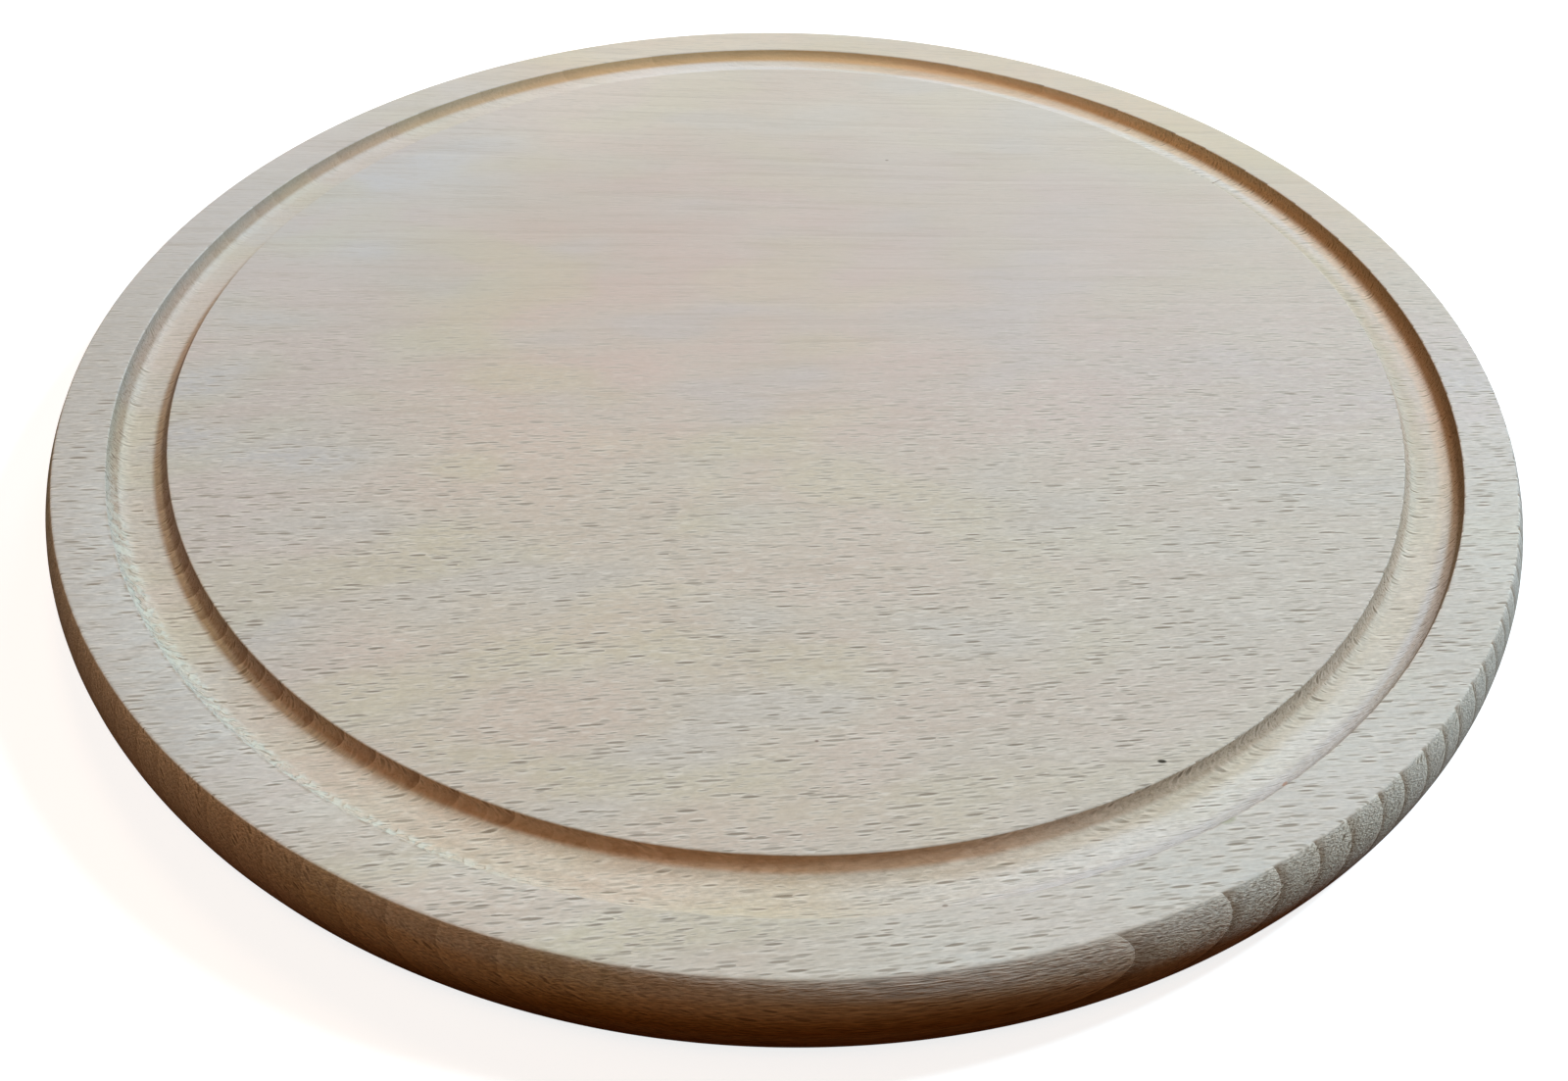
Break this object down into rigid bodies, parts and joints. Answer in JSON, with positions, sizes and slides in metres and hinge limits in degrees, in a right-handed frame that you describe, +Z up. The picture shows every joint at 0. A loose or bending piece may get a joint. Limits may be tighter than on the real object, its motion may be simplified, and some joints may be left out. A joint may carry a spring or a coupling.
{
  "type": "round cutting board",
  "caption": "Round beech cutting board, cut from one plank, with a shallow juice groove inside its rim and a softly rounded edge.",
  "frame": {"origin": "centre of the underside, which rests on the worktop", "axes": "+Z up, out of the cutting face; +X along the grain, to the right in the picture; +Y away from the picture's camera"},
  "size_m": [0.25, 0.25, 0.0165],
  "materials": {
    "beech": "bare, fine-sanded, unoiled"
  },
  "bodies": {
    "root": {"board": "beech"}
  },
  "joints": []
}
